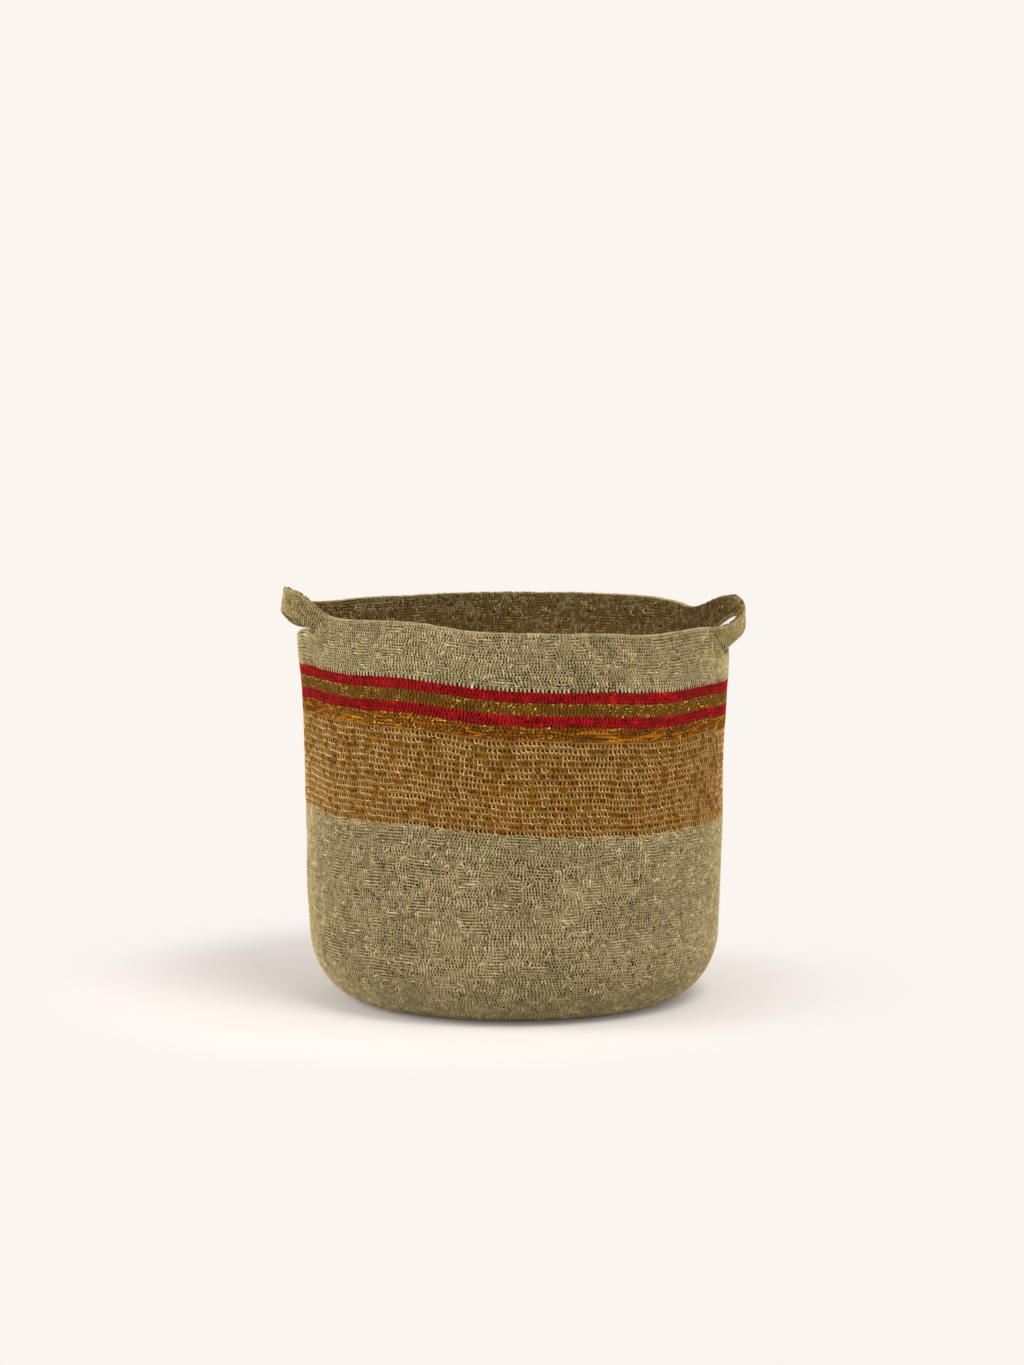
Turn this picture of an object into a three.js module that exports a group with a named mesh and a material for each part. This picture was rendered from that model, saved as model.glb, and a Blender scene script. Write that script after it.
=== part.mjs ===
// A round seagrass basket, crocheted in rounds, with a soft strap handle at each side.
// Millimetres, +Z up, the floor at z = 0, and the handles at -X and +X.

import * as THREE from "three";

// Sizes of the wall, seen in section
const RIM_HEIGHT = 344;
const WALL_THICKNESS = 4.5;
const BASE_RADIUS = 129;
const HEEL_REACH = 53.8;
const HEEL_RISE = 63;

// How the wall flares above the heel: shares of the height up to the rim, and of the heel's radius
const WALL_SHAPE = [
  { share: 0.2, flare: 1.0115 },
  { share: 0.4, flare: 1.0153 },
  { share: 0.59, flare: 1.023 },
  { share: 0.78, flare: 1.0377 },
  { share: 0.88, flare: 1.0476 },
  { share: 1, flare: 1.0421 },
];

// Heights of the bands, from the rim down
const RIM_BAND_HEIGHT = 26.5;
const UPPER_WALL_HEIGHT = 24;
const RED_STRIPE_HEIGHT = 9.4;
const GOLD_STRIPE_HEIGHT = 11;
const AMBER_BAND_HEIGHT = 12;
const MELANGE_BAND_HEIGHT = 83;

// The rounds were worked by hand: they sit higher at -X, less so at the rim than at the stripes
const TILT_HEIGHT = 6.2;
const RIM_TILT_HEIGHT = 4;
const TWIST_HEIGHT = 2.5;

// Crests along the front, and a dip at the right handle's back root
const BUMPS = [
  { degrees: -165, width: 12, height: 2.3 },
  { degrees: -122, width: 17, height: 3.5 },
  { degrees: -70, width: 9, height: 2 },
  { degrees: -33, width: 12, height: 2.8 },
  { degrees: 27, width: 9, height: -3.5 },
];

// Bumps of the upper wall and the rim alone, where the handles pull at them
const RIM_BUMPS = [
  { degrees: -166, width: 10.8, height: 8.7 },
  { degrees: -20, width: 12, height: -2.5 },
];

// The handles are the rim band carried over a gap; its lower edge keeps to the wall a little longer
const HANDLE_HALF_ANGLE = THREE.MathUtils.degToRad(29.5);
const LOW_HALF_ANGLE = THREE.MathUtils.degToRad(20.5);
const LOW_ROOT_SHARE = 0.13;
const NARROWING_SHARPNESS = 0.4;
const LEFT_HANDLE = { side: -1, rise: 15.9, lean: 1.6, skew: 1.04, sharpness: 2.2, narrowing: 4.6 };
const RIGHT_HANDLE = { side: 1, rise: 13.9, lean: -0.1, skew: 1.9, sharpness: 1.4, narrowing: 9.6 };

// Edges and joins
const SEAM_GAP = 0.3;
const EDGE_ROUNDING = 1.4;

// Steps of the round shapes
const ROUND_STEPS = 80;
const RIM_ARC_STEPS = 28;
const HANDLE_STEPS = 20;
const HEEL_STEPS = 7;

const NATURAL = 0x9d8e64;
const MELANGE = 0x856236;
const AMBER = 0x7c4a18;
const GOLD = 0x8a5c1e;
const CRIMSON = 0x831a19;

// Seams between the bands, from the rim down
const rimBandBottom = RIM_HEIGHT - RIM_BAND_HEIGHT;
const upperWallBottom = rimBandBottom - UPPER_WALL_HEIGHT;
const upperRedBottom = upperWallBottom - RED_STRIPE_HEIGHT;
const goldBottom = upperRedBottom - GOLD_STRIPE_HEIGHT;
const lowerRedBottom = goldBottom - RED_STRIPE_HEIGHT;
const amberBottom = lowerRedBottom - AMBER_BAND_HEIGHT;
const melangeBottom = amberBottom - MELANGE_BAND_HEIGHT;

const heelCurve = new THREE.EllipseCurve(
  BASE_RADIUS, HEEL_RISE, HEEL_REACH, HEEL_RISE, -Math.PI / 2, 0, false,
);

const wallCurve = new THREE.SplineCurve([
  new THREE.Vector2(BASE_RADIUS + HEEL_REACH, HEEL_RISE),
  ...WALL_SHAPE.map(({ share, flare }) => new THREE.Vector2(
    (BASE_RADIUS + HEEL_REACH) * flare,
    THREE.MathUtils.lerp(HEEL_RISE, RIM_HEIGHT, share),
  )),
]);
const wallPoints = wallCurve.getPoints(20 * WALL_SHAPE.length);

// Outer radius of the wall at a height above the heel
function radiusAt(height) {
  const above = wallPoints.findIndex((point) => point.y >= height);
  if (above < 1) {
    return above === 0 ? wallPoints[0].x : wallPoints[wallPoints.length - 1].x;
  }
  const low = wallPoints[above - 1];
  const high = wallPoints[above];
  return THREE.MathUtils.mapLinear(height, low.y, high.y, low.x, high.x);
}

// The height of a list of bumps at an angle; each fades out round the wall on both its sides
function bumpsAt(bumps, angle) {
  let height = 0;
  bumps.forEach((bump) => {
    const away = angle - THREE.MathUtils.degToRad(bump.degrees);
    const degrees = THREE.MathUtils.radToDeg(Math.atan2(Math.sin(away), Math.cos(away)));
    height += bump.height * Math.exp(-((degrees / bump.width) ** 2));
  });
  return height;
}

// How far a round is lifted at an angle: nothing at the heel, all of it from the stripes up
function liftAt(angle, height) {
  const above = (height - upperWallBottom) / (RIM_HEIGHT - upperWallBottom);
  const tilt = THREE.MathUtils.lerp(
    TILT_HEIGHT, RIM_TILT_HEIGHT, THREE.MathUtils.clamp(above, 0, 1),
  );
  let wave = -tilt * Math.cos(angle) + TWIST_HEIGHT * Math.sin(2 * angle);
  const rimShare = (height - upperWallBottom) / (rimBandBottom - upperWallBottom);
  wave += bumpsAt(BUMPS, angle);
  wave += bumpsAt(RIM_BUMPS, angle) * THREE.MathUtils.clamp(rimShare, 0, 1);
  const share = (height - HEEL_RISE) / (lowerRedBottom - HEEL_RISE);
  return wave * Math.sin(THREE.MathUtils.clamp(share, 0, 1) * Math.PI / 2);
}

// A pair of facing points of the wall's section: one outside, one inside
function wallPair(height, inset = 0) {
  const radius = radiusAt(height);
  return {
    outer: { radius: radius - inset, height },
    inner: { radius: radius - WALL_THICKNESS + inset, height },
  };
}

// Pairs from one height to another, with rounded edges where they are asked for
function wallSection(bottom, top, steps, roundBottom = false, roundTop = false) {
  const soft = [
    { along: 0, inset: EDGE_ROUNDING },
    { along: EDGE_ROUNDING * 0.3, inset: EDGE_ROUNDING * 0.3 },
  ];
  const low = roundBottom ? bottom + EDGE_ROUNDING : bottom;
  const high = roundTop ? top - EDGE_ROUNDING : top;
  const pairs = [];
  if (roundBottom) {
    soft.forEach(({ along, inset }) => pairs.push(wallPair(bottom + along, inset)));
  }
  for (let step = 0; step <= steps; step += 1) {
    pairs.push(wallPair(THREE.MathUtils.lerp(low, high, step / steps)));
  }
  if (roundTop) {
    [...soft].reverse().forEach(({ along, inset }) => pairs.push(wallPair(top - along, inset)));
  }
  return pairs;
}

// Pairs around the heel, square to its curve
function heelSection() {
  const pairs = [];
  for (let step = 0; step < HEEL_STEPS; step += 1) {
    const share = step / HEEL_STEPS;
    const point = heelCurve.getPoint(share);
    const along = heelCurve.getTangent(share);
    pairs.push({
      outer: { radius: point.x, height: point.y },
      inner: {
        radius: point.x - along.y * WALL_THICKNESS,
        height: point.y + along.x * WALL_THICKNESS,
      },
    });
  }
  pairs[0].outer.radius += SEAM_GAP / 2;
  pairs[0].inner.radius += SEAM_GAP / 2;
  return pairs;
}

// A closed solid: the section's pairs carried from turn 0 to turn 1 by the place function
function sweep(pairs, steps, place, closed) {
  const loop = [
    ...pairs.map((pair) => pair.outer),
    ...pairs.map((pair) => pair.inner).reverse(),
  ];
  const rings = closed ? steps : steps + 1;
  const positions = [];
  for (let ring = 0; ring < rings; ring += 1) {
    loop.forEach((point) => positions.push(...place(point, ring / steps)));
  }

  const faces = [];
  const count = loop.length;
  for (let ring = 0; ring < steps; ring += 1) {
    const here = ring * count;
    const next = ((ring + 1) % rings) * count;
    for (let side = 0; side < count; side += 1) {
      const after = (side + 1) % count;
      faces.push(here + side, next + side, next + after);
      faces.push(here + side, next + after, here + after);
    }
  }
  if (!closed) {
    const last = steps * count;
    for (let pair = 0; pair < pairs.length - 1; pair += 1) {
      const inner = count - 1 - pair;
      faces.push(pair, pair + 1, inner - 1);
      faces.push(pair, inner - 1, inner);
      faces.push(last + pair, last + inner - 1, last + pair + 1);
      faces.push(last + pair, last + inner, last + inner - 1);
    }
  }

  const geometry = new THREE.BufferGeometry();
  geometry.setAttribute("position", new THREE.Float32BufferAttribute(positions, 3));
  geometry.setIndex(faces);
  geometry.computeVertexNormals();
  return geometry;
}

function onWall(point, angle) {
  return [
    point.radius * Math.cos(angle),
    point.radius * Math.sin(angle),
    point.height + liftAt(angle, point.height),
  ];
}

// Half the distance between a handle's two roots
const rootReach = radiusAt(rimBandBottom) * Math.sin(HANDLE_HALF_ANGLE);

function bandGeometry(pairs) {
  return sweep(pairs, ROUND_STEPS, (point, turn) => onWall(point, 2 * Math.PI * turn), true);
}

// Half of the rim between the handles: side is 1 at the back, -1 at the front
function rimArcGeometry(side) {
  const pairs = wallSection(rimBandBottom + SEAM_GAP / 2, RIM_HEIGHT, 1, false, true);
  const place = (point, turn) => {
    const root = Math.asin((rootReach + SEAM_GAP / 2) / point.radius);
    const start = side > 0 ? root : Math.PI + root;
    return onWall(point, start + turn * (Math.PI - 2 * root));
  };
  return sweep(pairs, RIM_ARC_STEPS, place, false);
}

// How far out a strap reaches that leaves the rim along its tangents
function strapReach(radius, endReach) {
  const endX = Math.sqrt(radius ** 2 - endReach ** 2);
  return THREE.MathUtils.lerp(radius ** 2 / endX, endX, 0.25);
}

// A strap: its top edge leaves the rim at its roots, and its lower edge runs on along the wall first
function handleGeometry({ side, rise, lean, skew, sharpness, narrowing }) {
  const bottom = rimBandBottom + SEAM_GAP / 2;
  const pairs = wallSection(bottom, RIM_HEIGHT, 1, true, true);
  const endReach = rootReach - SEAM_GAP / 2;
  const place = (point, turn) => {
    const share = (point.height - bottom) / (RIM_HEIGHT - bottom);
    const rootAngle = Math.asin(endReach / point.radius);
    const leaveAngle = THREE.MathUtils.lerp(LOW_HALF_ANGLE, rootAngle, share);
    const rootShare = Math.max(LOW_ROOT_SHARE * (1 - share), 1e-6);
    const free = THREE.MathUtils.clamp((turn - rootShare) / (1 - 2 * rootShare), 0, 1);
    const back = free ** 3;
    const front = (1 - free) ** 3;
    const held = THREE.MathUtils.clamp(Math.min(turn, 1 - turn) / rootShare, 0, 1);
    const angle = THREE.MathUtils.lerp(rootAngle, leaveAngle, held);
    const endX = point.radius * Math.cos(angle);
    const farX = (strapReach(point.radius, endReach) - endX / 4) * 4 / 3;
    const bow = Math.max(Math.sin(Math.PI * free ** skew), 0) ** sharpness;
    const narrow = Math.max(Math.sin(Math.PI * free), 0) ** NARROWING_SHARPNESS;
    const x = endX * (front + back) + farX * 3 * free * (1 - free) - lean * share * bow;
    const y = point.radius * Math.sin(angle) * (back - front);
    const lift = liftAt(Math.atan2(side * y, side * x), point.height);
    const bowed = rise * bow + narrowing * (1 - share) * narrow;
    return [side * x, side * y, point.height + lift + bowed];
  };
  return sweep(pairs, HANDLE_STEPS, place, false);
}

function baseGeometry() {
  const radius = BASE_RADIUS - SEAM_GAP / 2;
  const geometry = new THREE.CylinderGeometry(radius, radius, WALL_THICKNESS, ROUND_STEPS);
  geometry.rotateX(Math.PI / 2);
  geometry.translate(0, 0, WALL_THICKNESS / 2);
  return geometry;
}

function lowerWallGeometry() {
  const wall = wallSection(HEEL_RISE, melangeBottom - SEAM_GAP / 2, 3);
  return bandGeometry([...heelSection(), ...wall]);
}

// A band between two seams, parted from its neighbours by the seam gap
function bandBetween(bottom, top, steps = 1) {
  return bandGeometry(wallSection(bottom + SEAM_GAP / 2, top - SEAM_GAP / 2, steps));
}

const basket = new THREE.Group();
basket.name = "seagrass_basket";

function addPiece(name, geometry, color) {
  const material = new THREE.MeshStandardMaterial({ color, roughness: 0.85, metalness: 0 });
  material.name = name;
  const mesh = new THREE.Mesh(geometry, material);
  mesh.name = name;
  basket.add(mesh);
}

addPiece("base_disc", baseGeometry(), NATURAL);
addPiece("lower_wall", lowerWallGeometry(), NATURAL);
addPiece("melange_band", bandBetween(melangeBottom, amberBottom, 3), MELANGE);
addPiece("amber_band", bandBetween(amberBottom, lowerRedBottom), AMBER);
addPiece("red_stripe_lower", bandBetween(lowerRedBottom, goldBottom), CRIMSON);
addPiece("gold_stripe", bandBetween(goldBottom, upperRedBottom), GOLD);
addPiece("red_stripe_upper", bandBetween(upperRedBottom, upperWallBottom), CRIMSON);
addPiece("upper_wall", bandBetween(upperWallBottom, rimBandBottom, 2), NATURAL);
addPiece("rim_band_front", rimArcGeometry(-1), NATURAL);
addPiece("rim_band_back", rimArcGeometry(1), NATURAL);
addPiece("handle_left", handleGeometry(LEFT_HANDLE), NATURAL);
addPiece("handle_right", handleGeometry(RIGHT_HANDLE), NATURAL);

export default basket;
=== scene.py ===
"""The look of a crocheted seagrass basket, built stitch by stitch around its solids."""
import math
import random
from dataclasses import dataclass

import bpy
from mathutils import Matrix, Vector, noise


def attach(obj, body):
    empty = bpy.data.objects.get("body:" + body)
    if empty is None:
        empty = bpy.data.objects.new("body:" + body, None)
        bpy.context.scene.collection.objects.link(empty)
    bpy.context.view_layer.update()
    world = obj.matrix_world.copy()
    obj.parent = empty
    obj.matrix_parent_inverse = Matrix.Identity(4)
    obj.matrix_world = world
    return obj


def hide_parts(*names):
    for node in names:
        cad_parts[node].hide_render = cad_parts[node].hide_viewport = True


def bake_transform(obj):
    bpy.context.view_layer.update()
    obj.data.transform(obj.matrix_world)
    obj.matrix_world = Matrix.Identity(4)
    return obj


MM = 0.001

# The wall in section, as the solids have it
RIM_HEIGHT = 344 * MM
WALL_THICKNESS = 4.5 * MM
BASE_RADIUS = 129 * MM
HEEL_REACH = 53.8 * MM
HEEL_RISE = 63 * MM
WALL_FLARE = ((0.2, 1.0115), (0.4, 1.0153), (0.59, 1.023), (0.78, 1.0377), (0.88, 1.0476), (1, 1.0421))

# Heights of the bands, from the rim down
RIM_BAND = 26.5 * MM
UPPER_WALL = 24 * MM
RED_STRIPE = 9.4 * MM
GOLD_STRIPE = 11 * MM
AMBER_BAND = 12 * MM
MELANGE_BAND = 83 * MM

RIM_BOTTOM = RIM_HEIGHT - RIM_BAND
UPPER_BOTTOM = RIM_BOTTOM - UPPER_WALL
HIGH_RED_BOTTOM = UPPER_BOTTOM - RED_STRIPE
GOLD_BOTTOM = HIGH_RED_BOTTOM - GOLD_STRIPE
LOW_RED_BOTTOM = GOLD_BOTTOM - RED_STRIPE
AMBER_BOTTOM = LOW_RED_BOTTOM - AMBER_BAND
MELANGE_BOTTOM = AMBER_BOTTOM - MELANGE_BAND

# The hand-worked slope and bumps of the rounds; a bump is its angle, its width and its height in mm
TILT = 6.2 * MM
RIM_TILT = 4 * MM
TWIST = 2.5 * MM
BUMPS = ((-165, 12, 2.3), (-122, 17, 3.5), (-70, 9, 2), (-33, 12, 2.8), (27, 9, -3.5))
RIM_BUMPS = ((-166, 10.8, 8.7), (-20, 12, -2.5))

# The strap handles, left (-1) and right (1); a pair is for the first and the last root
HANDLE_HALF_ANGLE = math.radians(29.5)
LOW_HALF_ANGLES = {-1: (20.5, 20.5), 1: (15, 20.5)}
LOW_ROOT_SHARES = {-1: (0.13, 0.13), 1: (0.21, 0.13)}
TANGENT_SHARE = 0.25
NARROWING_SHARPNESS = 0.4
HANDLE_RISE = {-1: 15.9 * MM, 1: 13.9 * MM}
HANDLE_LEAN = {-1: 1.6 * MM, 1: -0.1 * MM}
HANDLE_SKEW = {-1: 1.04, 1: 1.9}
HANDLE_SHARPNESS = {-1: 2.2, 1: 1.4}
HANDLE_NARROWING = {-1: 4.6 * MM, 1: 12 * MM}

# The crochet
NOISE_SEED = 7
PIECE_TRIANGLES = 180000
FEWEST_STITCHES = 6
HEEL_STEPS = 40
JOINING_ROUND = 4 * MM
STRAP_INSET = 0.4 * MM

# The base: its first round's middle in rounds, the share of rounds in its inner piece, and the
# share of its radius where its body starts
BASE_ROUND = 5.5 * MM
BASE_FIRST_ROUND = 0.6
BASE_SPLIT = 0.7
BASE_BODY_START = 0.02

# The last round of the rim and of the straps; its drop and its height are shares of a round
LAST_ROUND_DROP = 0.38
LAST_ROUND_HEIGHT = 1.1
LAST_ROUND_SLANT = math.radians(13)

# The loops on an edge; columns are those of its map, and depths are in mm
EDGE_COLUMNS = 20
EDGE_DEPTH = 0.6
EDGE_WAVER = 0.5
EDGE_PALE = 0.35
EDGE_OVERLAP = 1.02

# The body behind the stitches: its depths under the wall's faces, and its steps round the basket
SHELL_DEPTH = 1.5 * MM
RIB_VALLEY = 1.5 * MM
RIB_CREST = 0.7 * MM
SHELL_STEPS = 150
RIM_STEPS = 90
STRAP_STEPS = 30
BASE_STEPS = 96

# Steps that directions and lengths are measured with
ALONG_STEP = 1e-3
RISE_STEP = 2e-4
LENGTH_STEPS = 48

# How uneven the handwork is; each scale is in waves to a metre
UNEVENNESS = 1.6 * MM
WAVER_SCALE = 17
PATCH_SCALE = 26
RIPPLE_SCALE = 75
EDGE_SCALE = 90
SIDEWAYS_SCALE = 70
SIDEWAYS_START = 0.12
SIDEWAYS_FADE = 0.1
RIPPLE_LEAN = 0.4
RIPPLE_STRAY = 0.5
WIDTH_DRIFT = 0.2
HEIGHT_DRIFT = 0.15
RUN_TONE = 0.6

# How far stitches differ, from the lowest draw to the highest; angles are in degrees
PITCH_RANGE = (0.85, 1.12)
PLACE_RANGE = (-0.1, 0.1)
LEAN_RANGE = (-10, 10)
STRAY_RANGE = (-0.06, 0.06)
WIDTH_RANGE = (-0.1, 0.12)
HEIGHT_RANGE = (-0.08, 0.1)
SLOUCH_RANGE = (20, 60)

# Now and then a stitch is swollen, and stretched where it slouches, or it is shrunken
SWOLLEN = 1.35
SWOLLEN_STRETCH = 1.3
SHRUNKEN = 0.6
SHRUNKEN_SHARE = 0.04

# The random turn of a stitch, and the random share of its depth
STITCH_TURN = math.radians(5)
STITCH_SWELL = 0.06
EDGE_SWELL = 0.12

# The patterns on the cord, in waves to a metre; the wandering lines have a scale for each axis
CLOUD_SCALE = 21.0
BLOT_SCALE = 90.0
GAP_SCALE = 150.0
FLECK_SCALE = 400.0
GRAIN_SCALE = 420.0
GRIT_SCALE = 900.0
WAVE_SCALES = (16, 16, 95)

# How flat the flecks are, how many fibres cross a stitch's map each way, and their shift by tone
FLECK_STRETCH = (1, 1, 2.2)
FIBRE_COUNT = (26, 5, 1)
FIBRE_SHIFT = 40

# Where each pattern begins and where it is full
LOOP_BAND = (0.2, 0.3)
BACK_BAND = (0.7, 0.8)
PATCH_BAND = (0.42, 0.66)
SHADE_BAND = (0.25, 0.65)
WAVE_BAND = (0.006, 0.03)
FLECK_BAND = (0.58, 0.66)
CLUSTER_BAND = (0.44, 0.56)
FIBRE_BAND = (0.35, 0.7)
OWN_BAND = (0.48, 0.6)
WORN_BAND = (0.3, 0.6)
GAP_FADE = 0.06

# How strong each pattern is, and how deep the bumps are
PATCH_SHARE = 0.5
SHADE_SHARE = 0.6
WAVE_SHARE = 0.75
# The share of painted shade on strands on the inside of the wall
INSIDE_SHADE_SHARE = 0.95
OWN_SHARE = 0.5
WORN_SHARE = 0.22
CORD_BUMP = 0.3 * MM
BODY_BUMP = 0.4 * MM

# The photograph's camera
VIEW_TURN = math.radians(-2.25)
VIEW_PITCH = math.radians(6.65)
VIEW_DISTANCE = 4.094
VIEW_HEIGHT = 0.2806
VIEW_SIDE = -0.0018
LENS = 121.3
SENSOR_WIDTH = 36

# The light
BACKGROUND = (250, 245, 239)
FLOOR_COLOR = (222, 218, 214)
FLOOR_REACH = 40
FLOOR_GLOW = 0.1
SHADOW_MIDDLE = (-0.06, 0.05, 0)
SHADOW_NEAR = 0.23
SHADOW_FAR = 0.44
SKY_LOW = 1.2
SKY_HIGH = 0.5
SKY_FRONT = 0.45
SKY_COLOR = (1.0, 0.985, 0.96, 1)
LAMP_AIM = (0, 0, 0.2)


def blend_number(low, high, share):
    return low + (high - low) * share


def clamp(value):
    return min(max(value, 0.0), 1.0)


def share_between(low, high, value):
    """0 at low and below it, 1 at high and above it."""
    return clamp((value - low) / (high - low))


def heel_point(share):
    """Radius and height on the heel's curve, from the base (0) to the wall (1)."""
    angle = share * math.pi / 2
    return BASE_RADIUS + HEEL_REACH * math.sin(angle), HEEL_RISE - HEEL_RISE * math.cos(angle)


def wall_radius(height):
    """Outer radius of the wall, on a smooth curve through the flare's points."""
    foot = BASE_RADIUS + HEEL_REACH
    knots = [(0.0, 1.0)] + list(WALL_FLARE)
    share = share_between(HEEL_RISE, RIM_HEIGHT, height)
    span = max(i for i in range(len(knots) - 1) if knots[i][0] <= share)
    near = [knots[min(max(span + i, 0), len(knots) - 1)] for i in (-1, 0, 1, 2)]
    (_, before), (start, low), (end, high), (_, after) = near
    t = (share - start) / (end - start)
    pull_low = (high - before) / 2
    pull_high = (after - low) / 2
    flare = (
        (2 * t ** 3 - 3 * t ** 2 + 1) * low
        + (t ** 3 - 2 * t ** 2 + t) * pull_low
        + (3 * t ** 2 - 2 * t ** 3) * high
        + (t ** 3 - t ** 2) * pull_high
    )
    return foot * flare


def bumps_at(bumps, angle):
    """The height of a list of bumps at an angle; each fades out round the wall on both its sides."""
    height = 0.0
    for place, width, rise in bumps:
        away = angle - math.radians(place)
        degrees = math.degrees(math.atan2(math.sin(away), math.cos(away)))
        height += rise * MM * math.exp(-(degrees / width) ** 2)
    return height


def lift(angle, height):
    """How far a round is lifted at an angle: nothing at the heel, all of it from the stripes up."""
    tilt = blend_number(TILT, RIM_TILT, share_between(UPPER_BOTTOM, RIM_HEIGHT, height))
    wave = -tilt * math.cos(angle) + TWIST * math.sin(2 * angle)
    wave += bumps_at(BUMPS, angle)
    wave += bumps_at(RIM_BUMPS, angle) * share_between(UPPER_BOTTOM, RIM_BOTTOM, height)
    share = share_between(HEEL_RISE, LOW_RED_BOTTOM, height)
    return wave * math.sin(share * math.pi / 2)


ROOT_REACH = wall_radius(RIM_BOTTOM) * math.sin(HANDLE_HALF_ANGLE)


def uneven(point):
    """Moves a point a little, as handwork is never quite round or level; the base stays flat."""
    drift = noise.noise_vector(point * WAVER_SCALE) * min(point.z / HEEL_RISE, 1) * UNEVENNESS
    out = Vector((point.x, point.y, 0)).normalized()
    return point + out * drift.x + Vector((0, 0, drift.y))


def around(radius, angle, height):
    """A point of the wall by its radius and angle, lifted and unevened as the rounds are."""
    lifted = height + lift(angle, height)
    return uneven(Vector((radius * math.cos(angle), radius * math.sin(angle), lifted)))


# Each surface gives a point of the wall's outer face: along runs round the basket, rise runs up it

def base_surface(along, rise):
    return around(BASE_RADIUS * rise, 2 * math.pi * along, 0.0)


def heel_surface(along, rise):
    radius, height = heel_point(rise)
    return around(radius, 2 * math.pi * along, height)


def wall_surface(along, rise):
    return around(wall_radius(rise), 2 * math.pi * along, rise)


def rim_surface(side):
    """The rim between the handles: side is 1 at the back, -1 at the front."""
    def surface(along, rise):
        radius = wall_radius(rise)
        root = math.asin(ROOT_REACH / radius)
        start = root if side > 0 else math.pi + root
        return around(radius, start + along * (math.pi - 2 * root), rise)
    return surface


def strap_reach(radius):
    """How far out a strap reaches that leaves the rim along its tangents."""
    end_x = math.sqrt(radius ** 2 - ROOT_REACH ** 2)
    return blend_number(radius ** 2 / end_x, end_x, TANGENT_SHARE)


def strap_surface(side):
    """A handle at +X (side 1) or -X (side -1), whose top edge leaves the rim before its lower one."""
    def surface(along, rise):
        radius = wall_radius(rise)
        share = (rise - RIM_BOTTOM) / RIM_BAND
        root = math.asin(ROOT_REACH / radius)
        low_leave = math.radians(blend_number(*LOW_HALF_ANGLES[side], clamp(along)))
        leave = blend_number(low_leave, root, clamp(share))
        first, last = (max(held * (1 - share), 1e-6) for held in LOW_ROOT_SHARES[side])
        free = (along - first) / (1 - first - last)
        end = 0.0
        if first > 1e-3:  # below the top edge the strap's ends are held to the wall
            free = clamp(free)
            end = clamp(min(along / first, (1 - along) / last))
        back = free ** 3
        front = (1 - free) ** 3
        angle = blend_number(root, leave, end)
        end_x = radius * math.cos(angle)
        far_x = (strap_reach(radius) - end_x / 4) * 4 / 3
        skewed = max(free, 0.0) ** HANDLE_SKEW[side]
        bow = max(math.sin(math.pi * skewed), 0.0) ** HANDLE_SHARPNESS[side]
        narrow = max(math.sin(math.pi * free), 0.0) ** NARROWING_SHARPNESS
        x = end_x * (front + back) + far_x * 3 * free * (1 - free) - HANDLE_LEAN[side] * share * bow
        y = radius * math.sin(angle) * (back - front)
        height = rise + lift(math.atan2(side * y, side * x), rise)
        height += HANDLE_RISE[side] * bow + HANDLE_NARROWING[side] * (1 - share) * narrow
        return uneven(Vector((side * x, side * y, height)))
    return surface


def spot(surface, along, rise):
    """A point of a surface, with the direction along the round and the one out of the wall."""
    point = surface(along, rise)
    forward = surface(along + ALONG_STEP, rise) - surface(along - ALONG_STEP, rise)
    upward = surface(along, rise + RISE_STEP) - surface(along, rise - RISE_STEP)
    out = forward.cross(upward).normalized()
    return point, forward.normalized(), out


def row_length(surface, rise, start=0.0, end=1.0):
    """The length of a round, from one share of its way to another."""
    shares = (i / LENGTH_STEPS for i in range(LENGTH_STEPS + 1))
    points = [surface(blend_number(start, end, share), rise) for share in shares]
    return sum((b - a).length for a, b in zip(points, points[1:]))


# Meshes

def make_mesh(name, points, faces):
    mesh = bpy.data.meshes.new(name)
    mesh.from_pydata([tuple(p) for p in points], [], faces)
    mesh.update()
    return mesh


def make_object(name, mesh):
    piece = bpy.data.objects.new(name, mesh)
    bpy.context.scene.collection.objects.link(piece)
    return piece


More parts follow.
